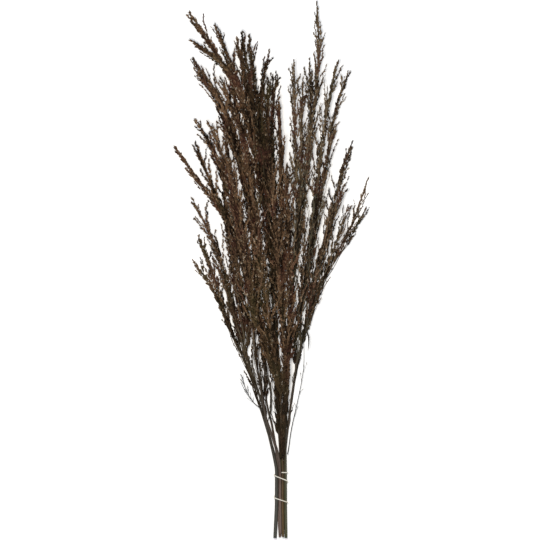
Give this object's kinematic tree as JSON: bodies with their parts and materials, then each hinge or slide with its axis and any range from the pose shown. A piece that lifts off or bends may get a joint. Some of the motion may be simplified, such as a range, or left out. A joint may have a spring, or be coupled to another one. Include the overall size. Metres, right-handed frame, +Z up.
{
  "type": "bunch of dried reeds",
  "caption": "Tied bunch of dried reeds lying flat: bare cut stems, a pale cord round them, and dark brown feathery plumes that fan out.",
  "frame": {"origin": "middle of the bunch's footprint, on the surface it lies on", "axes": "+Y along the bunch from the cut ends to the plume tips, +X across the fan, +Z up from the surface"},
  "size_m": [0.2686, 0.7472, 0.0947],
  "materials": {
    "stem": "dry grey-brown reed stem, faintly ribbed, satin",
    "russet_plume": "dry reddish-brown spikelets, matte",
    "umber_plume": "dry umber spikelets, matte",
    "dark_plume": "dry blackish-brown spikelets, matte",
    "leaf": "dry grey-olive leaf blade, matte",
    "cord": "twisted cream cotton cord"
  },
  "bodies": {
    "root": {"leaf_centre": "leaf", "leaf_right": "leaf", "plume_centre_front_inner": "russet_plume", "plume_centre_front_leader": "russet_plume", "plume_centre_front_lower": "russet_plume", "plume_centre_front_outer": "russet_plume", "plume_centre_front_upper": "russet_plume", "plume_far_left_leader": "umber_plume", "plume_far_left_lower": "umber_plume", "plume_far_left_upper": "umber_plume", "plume_far_right_crest": "umber_plume", "plume_far_right_inner": "umber_plume", "plume_far_right_leader": "umber_plume", "plume_far_right_lower": "umber_plume", "plume_far_right_upper": "umber_plume", "plume_left_front_crest": "russet_plume", "plume_left_front_leader": "russet_plume", "plume_left_front_outer": "russet_plume", "plume_left_front_outermost": "russet_plume", "plume_left_front_upper": "russet_plume", "plume_left_inner": "umber_plume", "plume_left_leader": "umber_plume", "plume_left_upper": "umber_plume", "plume_tall_right_inner": "dark_plume", "plume_tall_right_leader": "dark_plume", "plume_tall_right_lower": "dark_plume", "plume_tall_right_upper": "dark_plume", "plume_top_centre_front": "dark_plume", "plume_top_centre_inner": "dark_plume", "plume_top_centre_leader": "dark_plume", "plume_top_centre_outer": "dark_plume", "plume_top_centre_upper": "dark_plume", "plume_top_left_inner": "russet_plume", "plume_top_left_leader": "russet_plume", "plume_top_left_outer": "russet_plume", "plume_top_left_upper": "russet_plume", "plume_upper_left_crest": "russet_plume", "plume_upper_left_inner": "russet_plume", "plume_upper_left_leader": "russet_plume", "plume_upper_left_lower": "russet_plume", "plume_upper_left_upper": "russet_plume", "plume_upper_right_inner": "umber_plume", "plume_upper_right_leader": "umber_plume", "plume_upper_right_lower": "umber_plume", "plume_upper_right_outer": "umber_plume", "plume_upper_right_upper": "umber_plume", "stem_centre_front": "stem", "stem_far_left": "stem", "stem_far_right": "stem", "stem_left": "stem", "stem_left_front": "stem", "stem_tall_right": "stem", "stem_top_centre": "stem", "stem_top_left": "stem", "stem_upper_left": "stem", "stem_upper_right": "stem", "tie_cord": "cord", "wisp_left": "leaf", "wisp_right": "leaf"}
  },
  "joints": []
}
